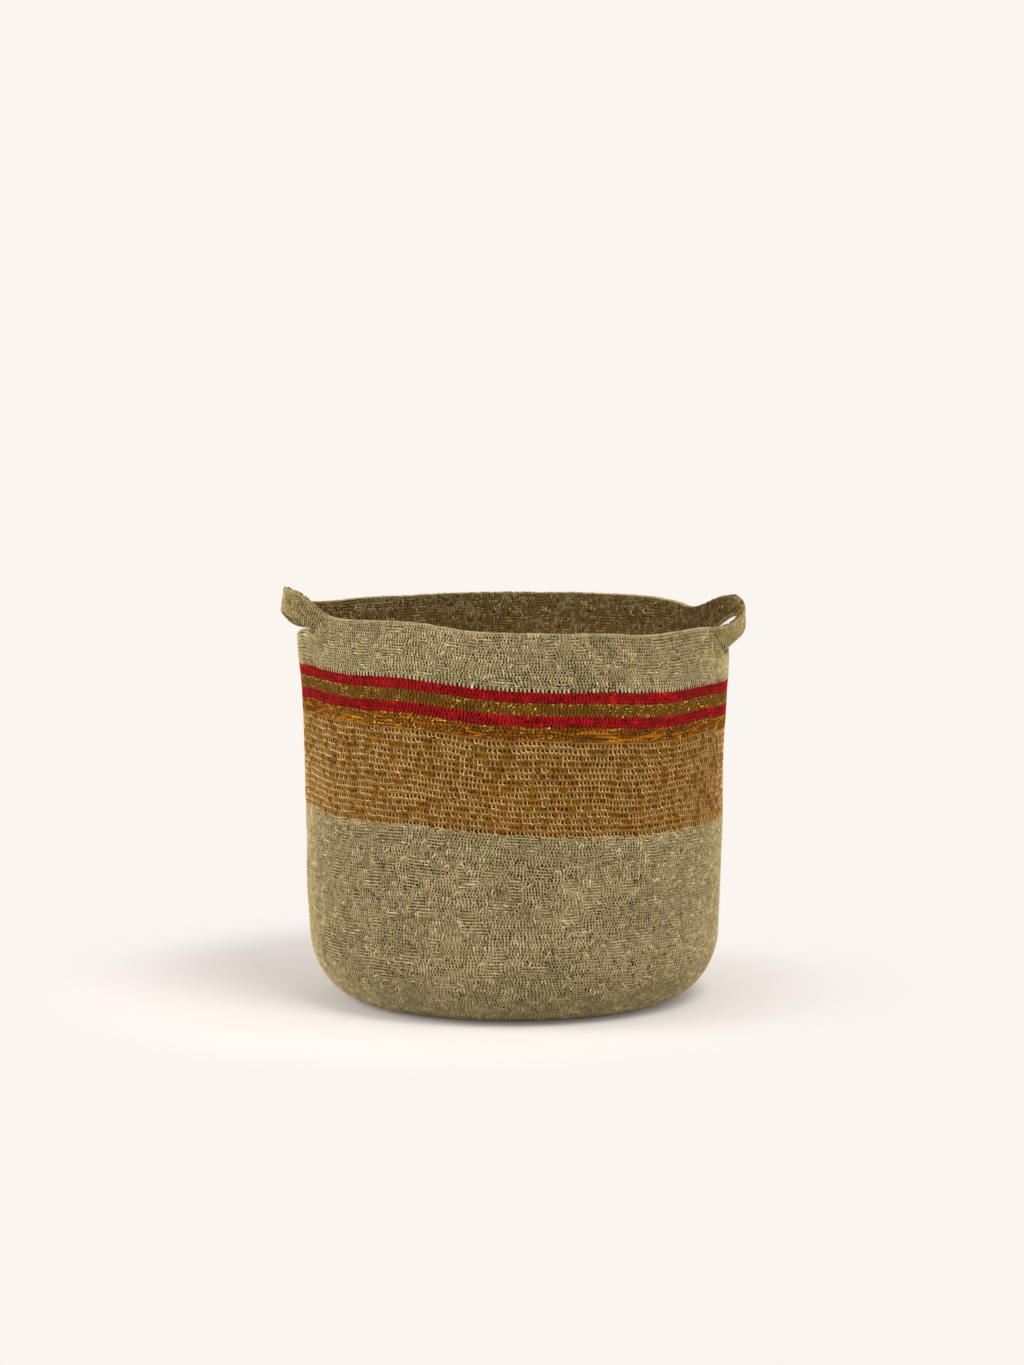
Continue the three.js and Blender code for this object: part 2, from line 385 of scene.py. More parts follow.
class Stitch:
    """Collects the closed strands of one stitch, with a place on the map for each side of a strand."""

    def __init__(self):
        self.points = []
        self.kinds = []
        self.faces = []
        self.map = []

    def strand(self, kind, path, width, ridge, patch):
        """A three-sided tapered strand; its ridge points out of the wall, or inwards if negative."""
        first = len(self.points)
        rings = len(path) - 2
        self.points.append(path[0])
        for before, here, after in zip(path, path[1:], path[2:]):
            ahead = Vector(after) - Vector(before)
            across = Vector((ahead.y, -ahead.x, 0)).normalized() * math.copysign(width, ridge)
            raised = Vector((0, 0, ridge))
            self.points += [tuple(Vector(here) + offset) for offset in (across, raised, -across)]
        self.points.append(path[-1])
        self.kinds += [kind] * (len(self.points) - first)
        last = len(self.points) - 1
        left, low, wide, tall = patch

        def mark(side, ring):
            return (left + wide * side / 3, low + tall * ring / (rings + 1))

        for side in range(3):
            after = (side + 1) % 3
            self.faces.append((first, first + 1 + side, first + 1 + after))
            self.map += [mark(side + 0.5, 0), mark(side, 1), mark(side + 1, 1)]
            for ring in range(rings - 1):
                here = first + 1 + 3 * ring
                self.faces.append((here + side, here + 3 + side, here + 3 + after, here + after))
                self.map += [mark(side, ring + 1), mark(side, ring + 2)]
                self.map += [mark(side + 1, ring + 2), mark(side + 1, ring + 1)]
            end = last - 3
            self.faces.append((end + side, last, end + after))
            self.map += [mark(side, rings), mark(side + 0.5, rings + 1), mark(side + 1, rings)]

    def build(self, name):
        mesh = make_mesh(name, self.points, self.faces)
        mesh.polygons.foreach_set("use_smooth", [True] * len(mesh.polygons))
        kinds = mesh.attributes.new("strand", "FLOAT", "POINT")
        kinds.data.foreach_set("value", self.kinds)
        for layer in ("OFBake", "Fibre"):
            uv = mesh.uv_layers.new(name=layer)
            uv.data.foreach_set("uv", [value for pair in self.map for value in pair])
        return mesh


# A stitch is drawn in shares of its width and of its round's height, and in millimetres of depth
LEG, LOOP, BACK = 0.0, 0.5, 1.0
INSIDE = -WALL_THICKNESS / MM

# The place of each strand on its stitch's own map: left, low, width and height
LEG_PLACE = (0.03, 0.03, 0.5, 0.94)
LOOP_PLACE = (0.56, 0.03, 0.4, 0.44)
BACK_PLACE = (0.56, 0.53, 0.4, 0.44)
OUTER_LEG_PLACE = (0.03, 0.03, 0.33, 0.94)
INNER_LEG_PLACE = (0.39, 0.03, 0.33, 0.94)
OUTER_LOOP_PLACE = (0.75, 0.03, 0.22, 0.44)
INNER_LOOP_PLACE = (0.75, 0.53, 0.22, 0.44)


def add_strand(stitch, kind, path, width, ridge, patch, face=1):
    """A strand on the outside of the wall, or turned over onto the inside where face is -1."""
    skin = 0 if face > 0 else INSIDE
    path = [(face * x, y, skin - face * depth) for x, y, depth in path]
    stitch.strand(kind if face > 0 else BACK, path, width, ridge * face, patch)


def add_leg(stitch, width, patch, face=1):
    """The upright leg of a stitch, whose foot passes under the next one."""
    path = [(-0.04, 0.66, 1.4), (-0.04, 0.22, 0.4), (0.03, -0.34, 0.35), (0.34, -0.64, 1.4)]
    add_strand(stitch, LEG, path, width, 0.5, patch, face)


def add_hook(stitch, width, patch):
    """The leg of an open stitch: it turns at its foot and runs on under the next one."""
    path = [
        (-0.08, 0.40, 1.5), (-0.07, 0.16, 0.5), (-0.05, -0.18, 0.3),
        (0.08, -0.37, 0.3), (0.56, -0.42, 0.8), (1.0, -0.37, 1.5),
    ]
    add_strand(stitch, LEG, path, width, 0.45, patch)


def add_loop(stitch, width, reach, patch, face=1):
    """The top loop, which lies along the round and crosses the next one like the lay of a rope."""
    path = [
        (-reach, 0.33, 1.5), (-0.4 * reach, 0.35, 0.6),
        (0.4 * reach, 0.48, 0.6), (reach, 0.52, 1.5),
    ]
    add_strand(stitch, LOOP, path, width, 0.5, patch, face)


def add_back_bar(stitch):
    """The slanted bar that a stitch shows on the inside of the wall."""
    path = [(0.7, 0.5, INSIDE + 1.5), (0.0, 0.0, INSIDE + 0.5), (-0.7, -0.5, INSIDE + 1.5)]
    stitch.strand(BACK, path, 0.38, -0.6, BACK_PLACE)


def plain_stitch(leg_width, loop_width, reach):
    """A leg and a loop; the wider they are, the smaller the gap beside the leg."""
    stitch = Stitch()
    add_leg(stitch, leg_width, LEG_PLACE)
    add_loop(stitch, loop_width, reach, LOOP_PLACE)
    add_back_bar(stitch)
    return stitch


def two_faced_stitch():
    """A stitch for the wall near the rim, where the inside is seen as well."""
    stitch = Stitch()
    add_leg(stitch, 0.25, OUTER_LEG_PLACE)
    add_leg(stitch, 0.29, INNER_LEG_PLACE, -1)
    add_loop(stitch, 0.25, 0.8, OUTER_LOOP_PLACE)
    add_loop(stitch, 0.22, 0.9, INNER_LOOP_PLACE, -1)
    return stitch


def open_stitch():
    """A stitch worked loosely, with a gap beside each leg."""
    stitch = Stitch()
    add_hook(stitch, 0.13, LEG_PLACE)
    add_loop(stitch, 0.26, 1.0, LOOP_PLACE)
    add_back_bar(stitch)
    return stitch


def joining_stitch():
    """A loose stitch that bites into the round below, with gaps between and a loop on both faces."""
    stitch = Stitch()
    path = [
        (-0.05, 0.5, 1.4), (-0.05, 0.2, 0.3), (0.0, -0.2, 0.1),
        (0.04, -0.38, 0.3), (0.06, -0.58, 1.6),
    ]
    add_strand(stitch, LEG, path, 0.25, 0.5, LEG_PLACE)
    add_loop(stitch, 0.22, 0.66, LOOP_PLACE)
    add_loop(stitch, 0.22, 0.66, BACK_PLACE, -1)
    return stitch


def edge_stitch():
    """The slanted loops that close an edge, laid over the wall's thickness."""
    stitch = Stitch()
    for face, left in ((1, 0.03), (-1, 0.52)):
        path = [(-0.55, -1.1, 2.1), (-0.35, -0.9, 0.9), (0.1, -0.25, 0.3), (0.5, 0.35, 1.3)]
        path = [(face * x, face * y * WALL_THICKNESS / MM / 2, -depth) for x, y, depth in path]
        stitch.strand(LOOP, path, 0.4, 0.6, (left, 0.03, 0.45, 0.94))
    return stitch


@dataclass
class Yarn:
    """A cord and how it is worked, with stitches of width by height in mm.

    pale and border are the shares of pale stitches in a round and in a band's first and last round,
    run is the mean length of a run of one tone, flow and sideways are how far areas of stitches lean,
    in degrees, stray is how far they leave their round, and swollen is the share of swollen ones.
    """

    slot: str
    finish: str
    body: str
    stitch: str
    width: float
    height: float
    pale: float = 0.1
    border: float = 0.1
    run: float = 1.4
    flow: float = 12
    stray: float = 0.1
    sideways: float = 0
    swollen: float = 0.018


YARNS = {
    "natural": Yarn(
        "natural_cord", "natural", "natural body", "tight", 2.95, 2.65,
        flow=30, stray=0.3, sideways=84,
    ),
    "rim": Yarn(
        "natural_cord", "natural", "natural body", "two faced", 2.8, 2.65,
        flow=24, stray=0.2, sideways=84,
    ),
    "strap": Yarn(
        "natural_cord", "handle", "natural body", "two faced", 2.8, 2.65,
        flow=8, stray=0.06,
    ),
    "strap end": Yarn(
        "natural_cord", "handle", "dark body", "joining", 3.3, 2.65,
        flow=10, stray=0.05, swollen=0.0,
    ),
    "last round": Yarn(
        "natural_cord", "natural", "dark body", "joining", 3.3, 2.65,
        flow=10, stray=0.05, swollen=0.0,
    ),
    "melange": Yarn(
        "melange_cord", "melange", "brown body", "open", 3.65, 5.45,
        pale=0.7, border=0.9, run=1.15, flow=18, stray=0.24,
    ),
    "amber": Yarn(
        "amber_cord", "amber", "amber body", "dense", 3.6, 3.0,
        pale=0.3, border=0.6, run=1.2, flow=110, stray=0.4,
    ),
    "gold": Yarn(
        "gold_cord", "gold", "gold body", "dense", 3.3, 2.75,
        pale=0.15, border=0.8, run=1.2, flow=40, stray=0.12,
    ),
    "crimson": Yarn(
        "crimson_cord", "crimson", "crimson body", "dense", 3.4, 3.13,
        run=2.0, flow=35, stray=0.2,
    ),
    "joining": Yarn(
        "natural_cord", "natural", "dark body", "joining", 3.4, 4.0,
        run=1.5, stray=0.25,
    ),
}


class Guide:
    """Places for stitches: points with their directions, sizes, tones and cells on the map."""

    def __init__(self, seed):
        self.random = random.Random(seed)
        self.points = []
        self.values = {key: [] for key in ("along", "out", "size", "cell", "tone", "pale")}

    def add(self, point, **values):
        self.points.append(point)
        for key, value in values.items():
            self.values[key].append(value)

    def add_row(self, surface, row, shape, yarn, start=0.0, end=1.0, closed=True):
        """One round of stitches, which lean, crowd and change colour in runs as handwork does.

        row is the round's number; shape is its middle, height, slant and share of pale stitches.
        """
        rise, height, slant, pale = shape
        draw = self.random.uniform
        length = row_length(surface, rise, start, end)
        pitch = yarn.width * MM * draw(*PITCH_RANGE)
        count = max(round(length / pitch), FEWEST_STITCHES)
        slip = self.random.random() if closed else 0.5
        shade, light = 0.5, 0.0
        for column in range(count):
            share = (column + slip + draw(*PLACE_RANGE)) / count
            point, along, out = spot(surface, blend_number(start, end, share), rise)
            up = out.cross(along)
            patch = noise.noise_vector(point * PATCH_SCALE)
            ripple = noise.noise_vector(point * RIPPLE_SCALE)
            sideways = (noise.noise(point * SIDEWAYS_SCALE) - SIDEWAYS_START) / SIDEWAYS_FADE
            lean = slant + math.radians(yarn.flow) * (patch.x + RIPPLE_LEAN * ripple.x)
            lean += math.radians(draw(*LEAN_RANGE))
            lean += math.radians(yarn.sideways) * clamp(sideways)
            stray = yarn.stray * (patch.y + RIPPLE_STRAY * ripple.y) + draw(*STRAY_RANGE)
            point = point + up * height * stray
            if self.random.random() * yarn.run < 1:
                shade = self.random.random()
                light = float(self.random.random() < pale)
            swell = self.random.choices(
                (1.0, SWOLLEN, SHRUNKEN),
                (1 - SHRUNKEN_SHARE - yarn.swollen, yarn.swollen, SHRUNKEN_SHARE),
            )[0]
            stretch = 1.0
            if swell > 1 and yarn.sideways:
                lean -= math.radians(draw(*SLOUCH_RANGE))
                stretch = SWOLLEN_STRETCH
            width = length / count * (1 + WIDTH_DRIFT * patch.z + draw(*WIDTH_RANGE)) * swell
            tall = height * (1 + HEIGHT_DRIFT * ripple.z + draw(*HEIGHT_RANGE)) * swell
            size = (width / stretch, tall * stretch, swell)
            turned = along * math.cos(lean) + up * math.sin(lean)
            self.add(
                point, along=turned, out=out, size=size, cell=(column, row, 0),
                tone=RUN_TONE * shade + (1 - RUN_TONE) * self.random.random(),
                pale=max(light, swell > 1),
            )
        return count

    def build(self, name):
        mesh = make_mesh(name, self.points, [])
        for key, values in self.values.items():
            if key in ("tone", "pale"):
                mesh.attributes.new(key, "FLOAT", "POINT").data.foreach_set("value", values)
            else:
                numbers = [number for value in values for number in value]
                mesh.attributes.new(key, "FLOAT_VECTOR", "POINT").data.foreach_set("vector", numbers)
        return make_object(name, mesh)


class Wire:
    """A node's output that turns Python sums into Math nodes."""

    def __init__(self, nodes, socket):
        self.nodes = nodes
        self.socket = socket

    def sum(self, operation, left, right):
        return self.nodes.add("ShaderNodeMath", {"operation": operation}, [left, right])

    def __add__(self, other):
        return self.sum("ADD", self, other)

    def __radd__(self, other):
        return self.sum("ADD", other, self)

    def __sub__(self, other):
        return self.sum("SUBTRACT", self, other)

    def __rsub__(self, other):
        return self.sum("SUBTRACT", other, self)

    def __mul__(self, other):
        return self.sum("MULTIPLY", self, other)

    def __rmul__(self, other):
        return self.sum("MULTIPLY", other, self)

    def __gt__(self, other):
        return self.sum("GREATER_THAN", self, other)


def in_use(sockets, name=None):
    """The first socket in use, or the first of them that has a name."""
    return next(s for s in sockets if s.enabled and name in (None, s.name))


class Nodes:
    """The nodes of the crochet, of a material or of the world."""

    def __init__(self, tree):
        self.tree = tree
        tree.nodes.clear()

    def add(self, kind, settings=None, inputs=(), output=None):
        """Adds a node: its settings are set first and then its inputs, given in order or by name."""
        node = self.tree.nodes.new(kind)
        for key, value in (settings or {}).items():
            setattr(node, key, value)
        if isinstance(inputs, dict):
            pairs = [(in_use(node.inputs, name), value) for name, value in inputs.items()]
        else:
            pairs = zip(node.inputs, inputs)
        for socket, value in pairs:
            if isinstance(value, Wire):
                self.tree.links.new(value.socket, socket)
            else:
                socket.default_value = value
        return Wire(self, in_use(node.outputs, output)) if len(node.outputs) else None

    def vectors(self, operation, *inputs):
        return self.add("ShaderNodeVectorMath", {"operation": operation}, inputs)


def crochet_tree():
    """Sets a stitch on each point of a guide, varies it a little, and lays out its map."""
    tree = bpy.data.node_groups.new("Crochet", "GeometryNodeTree")
    nodes = Nodes(tree)
    sockets = {}
    for label, kind in (
        ("Guide", "Geometry"), ("Stitch", "Object"), ("Material", "Material"),
        ("Seed", "Int"), ("Swell", "Float"), ("Grid", "Vector"),
    ):
        socket = tree.interface.new_socket(label, in_out="INPUT", socket_type="NodeSocket" + kind)
        sockets[label] = socket.identifier
    tree.interface.new_socket("Piece", in_out="OUTPUT", socket_type="NodeSocketGeometry")
    source = tree.nodes.new("NodeGroupInput")
    guide, stitch, material, seed, swell, grid = (Wire(nodes, source.outputs[label]) for label in sockets)

    def stored(name):
        return nodes.add("GeometryNodeInputNamedAttribute", {"data_type": "FLOAT_VECTOR"}, [name])

    def drawn(kind, low, high):
        limits = {"Min": low, "Max": high, "Seed": seed}
        return nodes.add("FunctionNodeRandomValue", {"data_type": kind}, limits)

    facing = nodes.add(
        "FunctionNodeAxesToRotation", {"primary_axis": "Z", "secondary_axis": "X"},
        {"Primary Axis": stored("out"), "Secondary Axis": stored("along")},
    )
    turn = Vector((STITCH_TURN / 2, STITCH_TURN / 2, STITCH_TURN))
    wobble = nodes.add("FunctionNodeEulerToRotation", None, [drawn("FLOAT_VECTOR", -turn, turn)])
    turned = nodes.add("FunctionNodeRotateRotation", {"rotation_space": "LOCAL"}, [facing, wobble])
    depth = nodes.add("ShaderNodeCombineXYZ", None, [1.0, 1.0, drawn("FLOAT", 1 - swell, 1 + swell)])
    size = nodes.vectors("MULTIPLY", nodes.vectors("MULTIPLY", stored("size"), depth), (1, 1, MM))
    placed = nodes.add("GeometryNodeInstanceOnPoints", None, {
        "Points": guide, "Instance": nodes.add("GeometryNodeObjectInfo", None, [stitch], "Geometry"),
        "Rotation": turned, "Scale": size,
    })
    real = nodes.add("GeometryNodeRealizeInstances", None, [placed])
    place = nodes.vectors("ADD", stored("OFBake"), stored("cell"))
    mapped = nodes.add("GeometryNodeStoreNamedAttribute", {"data_type": "FLOAT2", "domain": "CORNER"}, {
        "Geometry": real, "Name": "OFBake", "Value": nodes.vectors("DIVIDE", place, grid),
    })
    finished = nodes.add("GeometryNodeSetMaterial", None, {"Geometry": mapped, "Material": material})
    nodes.add("NodeGroupOutput", None, [finished])
    return tree, sockets


def shell(
    name, surface, low, high, rows, finishes,
    start=0.0, end=1.0, closed=True, steps=SHELL_STEPS,
):
    """The body of the cords behind the stitches: a closed sheet with ribs on its inner face.

    finishes are those of its outer and its inner face, painted darker as shade behind the stitches.
    """
    levels = [(i / (2 * rows), RIB_CREST if i % 2 else RIB_VALLEY) for i in range(2 * rows + 1)]
    loop = [(share, SHELL_DEPTH) for share, _ in levels]
    loop += [(share, WALL_THICKNESS - rib) for share, rib in reversed(levels)]
    count = len(loop)
    rings = steps if closed else steps + 1
    points = []
    for ring in range(rings):
        along = blend_number(start, end, ring / steps)
        for share, depth in loop:
            point, _, out = spot(surface, along, blend_number(low, high, share))
            points.append(point - out * depth)
    faces = []
    corners = []
    slots = []
    for ring in range(steps):
        here = ring * count
        there = ((ring + 1) % rings) * count
        left, right = ring / steps, (ring + 1) / steps
        for side in range(count):
            after = (side + 1) % count
            below, above = side / count, (side + 1) / count
            faces.append((here + side, there + side, there + after, here + after))
            corners += [(left, below), (right, below), (right, above), (left, above)]
            slots.append(0 if side < len(levels) else 1)
    if not closed:
        for base, flip in ((0, False), (steps * count, True)):
            for k in range(len(levels) - 1):
                inner = count - 1 - k
                quad = (base + k, base + k + 1, base + inner - 1, base + inner)
                faces.append(quad[::-1] if flip else quad)
                corners += [(0, 0)] * 4
                slots.append(0)
    mesh = make_mesh(name, points, faces)
    mesh.polygons.foreach_set("use_smooth", [True] * len(mesh.polygons))
    uv = mesh.uv_layers.new(name="OFBake")
    uv.data.foreach_set("uv", [value for pair in corners for value in pair])
    piece = make_object(name, mesh)
    for finish in finishes:
        mesh.materials.append(finish)
    mesh.polygons.foreach_set("material_index", slots)
    return piece


# Finishes

# The colours of the cords, as they look on screen, and what else differs between them; each inside colour
# is a darker copy of the cord, painted shade for strands on the inside of the wall
CORDS = {
    "natural": dict(
        legs=(188, 171, 127), loops=(172, 154, 110), inside=(122, 94, 49),
        pales=(226, 208, 160), patches=(150, 138, 97), dark=(92, 73, 41),
    ),
    "handle": dict(
        legs=(179, 161, 111), loops=(164, 145, 97), inside=(118, 93, 51),
        pales=(206, 187, 136), patches=(138, 123, 80), dark=(82, 64, 35),
    ),
    "melange": dict(
        legs=(156, 106, 28), loops=(138, 92, 17), inside=(104, 70, 26),
        pales=(222, 192, 132), patches=(142, 84, 6), dark=(90, 55, 10),
        pale_loops=0.08, fibre_share=0.08,
    ),
    "amber": dict(
        legs=(110, 60, 5), loops=(100, 52, 4), inside=(90, 50, 12),
        pales=(244, 190, 66), patches=(128, 72, 6), dark=(70, 36, 5),
        pale_loops=0.9, fibre_share=0.05, waves=(184, 112, 12), flecks=1.0,
    ),
    "gold": dict(
        legs=(108, 64, 8), loops=(98, 55, 6), inside=(90, 56, 16),
        pales=(250, 214, 84), patches=(112, 68, 14), dark=(74, 46, 12),
        pale_loops=0.9, fibre_share=0.05, flecks=1.0,
    ),
    "crimson": dict(
        legs=(154, 20, 20), loops=(142, 17, 17), inside=(104, 10, 14),
        pales=(182, 24, 28), patches=(120, 4, 10), dark=(76, 3, 6),
        pale_loops=0.8, fibre_share=0.2,
    ),
}

# Each body's name, its colour in filled gaps and in dark ones, and the share of the dark ones;
# the filled colour is painted a little darker than the cord as shade behind the stitches, the dark one is
# painted shade deep in the gaps, and each inside body is a darker copy, painted shade on the inside of the
# wall
BODIES = {
    "natural body": ("natural cord body", (144, 125, 83), (60, 46, 25), 0.6),
    "brown body": ("brown cord body", (128, 86, 28), (76, 48, 16), 0.5),
    "amber body": ("amber cord body", (112, 62, 12), (74, 40, 10), 0.5),
    "gold body": ("gold cord body", (104, 66, 16), (74, 46, 12), 0.5),
    "crimson body": ("crimson cord body", (124, 7, 12), (52, 4, 6), 0.5),
    "dark body": ("gap at the joining round", (124, 102, 68), (50, 30, 18), 0.5),
    "natural body inside": ("inside of natural cord", (114, 91, 53), (70, 53, 28), 0.5),
    "brown body inside": ("inside of brown cord", (108, 72, 28), (86, 56, 22), 0.4),
    "amber body inside": ("inside of amber cord", (94, 52, 16), (78, 42, 12), 0.4),
    "gold body inside": ("inside of gold cord", (92, 58, 18), (76, 46, 14), 0.4),
    "crimson body inside": ("inside of crimson cord", (110, 14, 20), (86, 10, 15), 0.4),
    "dark body inside": ("inside of the joining round", (110, 88, 52), (90, 70, 40), 0.4),
}


def srgb(color):
    """A colour given as it looks on screen, 0 to 255."""
    parts = [value / 255 for value in color]
    linear = [p / 12.92 if p <= 0.04045 else ((p + 0.055) / 1.055) ** 2.4 for p in parts]
    return (*linear, 1.0)


class Shader(Nodes):
    """The nodes of a material or of the world, and the patterns that they share."""

    def __init__(self, owner):
        owner.use_nodes = True
        super().__init__(owner.node_tree)

    def object_place(self):
        return self.add("ShaderNodeTexCoord", output="Object")

    def stored(self, name):
        """A value that each stitch carries."""
        return self.add("ShaderNodeAttribute", {"attribute_name": name}, output="Fac")

    def noise(self, place, scale, detail=2.0, roughness=0.6):
        return self.add("ShaderNodeTexNoise", None, {
            "Vector": place, "Scale": scale, "Detail": detail, "Roughness": roughness,
        })

    def band(self, value, low, high):
        """0 below low, 1 above high and a smooth step between."""
        return self.add("ShaderNodeMapRange", {"interpolation_type": "SMOOTHSTEP"}, {
            "Value": value, "From Min": low, "From Max": high,
        })

    def mix(self, share, first, second):
        return self.add("ShaderNodeMix", {"data_type": "RGBA"}, {"Factor": share, "A": first, "B": second})

    def seen(self):
        """1 for the rays that show the background: from the camera, mirrored, or through glass."""
        camera, mirrored, through = (
            self.add("ShaderNodeLightPath", output=f"Is {kind} Ray")
            for kind in ("Camera", "Glossy", "Transmission")
        )
        return camera + mirrored + through > 0.5

    def matt(self, color, roughness, gloss, strength, depth, height):
        """Ends a material as a matt surface with a bump."""
        bump = self.add("ShaderNodeBump", None, {"Strength": strength, "Distance": depth, "Height": height})
        surface = self.add("ShaderNodeBsdfPrincipled", None, {
            "Base Color": color, "Roughness": roughness, "Specular IOR Level": gloss, "Normal": bump,
        })
        self.add("ShaderNodeOutputMaterial", None, [surface])


def cord_finish(
    name, legs, loops, inside, pales, patches, dark,
    pale_loops=0.5, fibre_share=0.3, waves=None, flecks=0.0,
):
    """Seagrass cord: stitches change tone in runs, rounds drift in colour, and strands have fibres.

    pale_loops is how pale the loops of a pale stitch are beside its leg, waves is the colour of thin
    wandering lines, and flecks is how far the pale stitches break up into flecks. inside is the
    colour of strands on the inside of the wall, a darker copy of the cord painted as shade.
    """
    material = bpy.data.materials.new(name)
    finish = Shader(material)
    legs, loops, inside, pales, patches, dark = map(srgb, (legs, loops, inside, pales, patches, dark))
    place = finish.object_place()
    strand, tone, pale = (finish.stored(key) for key in ("strand", "tone", "pale"))
    fibre_map = finish.add("ShaderNodeUVMap", {"uv_map": "Fibre"})

    clouds = finish.noise(place, CLOUD_SCALE, 3.0)
    blots = finish.noise(place, BLOT_SCALE, roughness=0.5)
    fibres = finish.noise(finish.vectors("MULTIPLY_ADD", fibre_map, FIBRE_COUNT, tone * FIBRE_SHIFT), 1.0)
    grit = finish.noise(place, GRIT_SCALE)

    loop_share = finish.band(strand, *LOOP_BAND)
    back_share = finish.band(strand, *BACK_BAND)
    color = finish.mix(loop_share, legs, loops)
    color = finish.mix(finish.band(clouds, *PATCH_BAND) * PATCH_SHARE, color, patches)
    shade = finish.band(blots * 0.5 + tone * 0.5, *SHADE_BAND)
    color = finish.mix((1 - shade) * SHADE_SHARE, color, dark)
    if waves:
        stretched = finish.add("ShaderNodeMapping", None, {"Vector": place, "Scale": WAVE_SCALES})
        swells = finish.noise(stretched, 1.0, 1.0, 0.5)
        off_line = finish.add("ShaderNodeMath", {"operation": "ABSOLUTE"}, [swells - 0.5])
        line = 1 - finish.band(off_line, *WAVE_BAND)
        color = finish.mix(line * WAVE_SHARE, color, srgb(waves))
    flat = finish.add("ShaderNodeMapping", None, {"Vector": place, "Scale": FLECK_STRETCH})
    streaks = finish.band(finish.noise(flat, FLECK_SCALE, 1.0, 0.5), *FLECK_BAND)
    streaks = streaks * (0.15 + finish.band(clouds, *CLUSTER_BAND) * 0.85)
    fleck = flecks * streaks * (0.4 + pale * 0.6) + (1 - flecks) * pale * (0.3 + tone * 0.7)
    color = finish.mix(fleck * (1 - loop_share * (1 - pale_loops)), color, pales)
    color = finish.mix(finish.band(fibres, *FIBRE_BAND) * fibre_share, color, pales)
    own = finish.band(tone * 0.5 + blots * 0.5, *OWN_BAND)
    # Painted shade: strands on the inside of the wall take the darker inside colour, less of it in patches
    # where they keep their own colour
    color = finish.mix(back_share * (INSIDE_SHADE_SHARE - own * OWN_SHARE), color, inside)
    worn = finish.band(grit, *WORN_BAND)
    color = finish.mix((1 - worn) * WORN_SHARE, color, dark)
    finish.matt(
        color, roughness=0.86, gloss=0.1, strength=0.55, depth=CORD_BUMP, height=fibres + grit * 0.5,
    )
    return material


def body_finish(name, color, dark, shaded_gap_share):
    """The cords behind the stitches, painted a little darker as shade: some gaps between the stitches are
    filled and some are painted dark as deeper shade.
    """
    material = bpy.data.materials.new(name)
    finish = Shader(material)
    place = finish.object_place()
    grain = finish.noise(place, GRAIN_SCALE)
    gaps = finish.noise(place, GAP_SCALE)
    edge = 0.3 + 0.4 * shaded_gap_share
    filled = finish.band(gaps * 0.8 + grain * 0.2, edge - GAP_FADE, edge + GAP_FADE)
    # Painted shade: gaps that are not filled take the dark colour, the shade that falls between the
    # stitches
    base = finish.mix(filled, srgb(dark), srgb(color))
    finish.matt(base, roughness=0.9, gloss=0.15, strength=0.6, depth=BODY_BUMP, height=grain)
    return material


def make_finishes():
    """The finishes by name: one for each cord, and two for each cord's body."""
    finishes = {key: cord_finish(key + " seagrass", **cord) for key, cord in CORDS.items()}
    for key, body in BODIES.items():
        finishes[key] = body_finish(*body)
    return finishes


